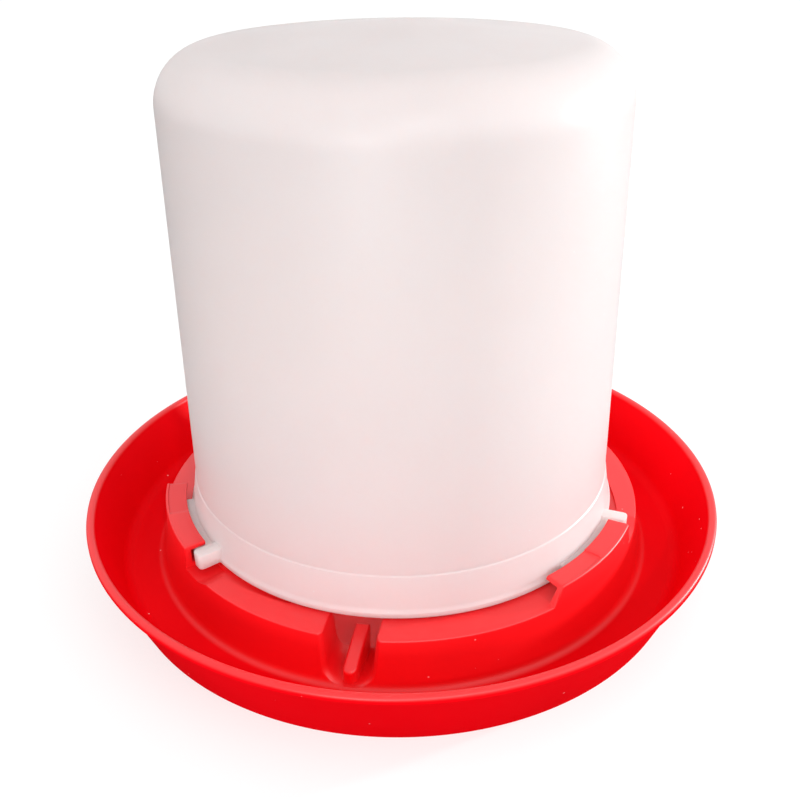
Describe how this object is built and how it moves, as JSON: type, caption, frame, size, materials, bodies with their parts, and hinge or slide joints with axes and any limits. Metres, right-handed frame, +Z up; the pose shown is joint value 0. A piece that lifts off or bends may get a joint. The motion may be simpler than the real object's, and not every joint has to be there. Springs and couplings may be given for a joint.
{
  "type": "poultry waterer",
  "caption": "Round poultry waterer: a moulded trough base with a raised bayonet ring, and a domed translucent jar that twists onto it.",
  "frame": {"origin": "centre of the foot, on the surface that it stands on", "axes": "+Z up along the jar's axis, -Y towards the water notch"},
  "size_m": [0.28, 0.28, 0.2273],
  "materials": {
    "red_plastic": "glossy moulded plastic, clear red",
    "milky_plastic": "translucent milky plastic with a soft sheen"
  },
  "bodies": {
    "base": {"drinking_base": "red_plastic"},
    "jar": {"water_jar": "milky_plastic"}
  },
  "joints": [
    {"name": "jar_twist", "type": "hinge", "parent": "base", "child": "jar", "pos_m": [0, 0, 0], "axis": [0, 0, 1], "range_deg": [-1, 85]}
  ]
}
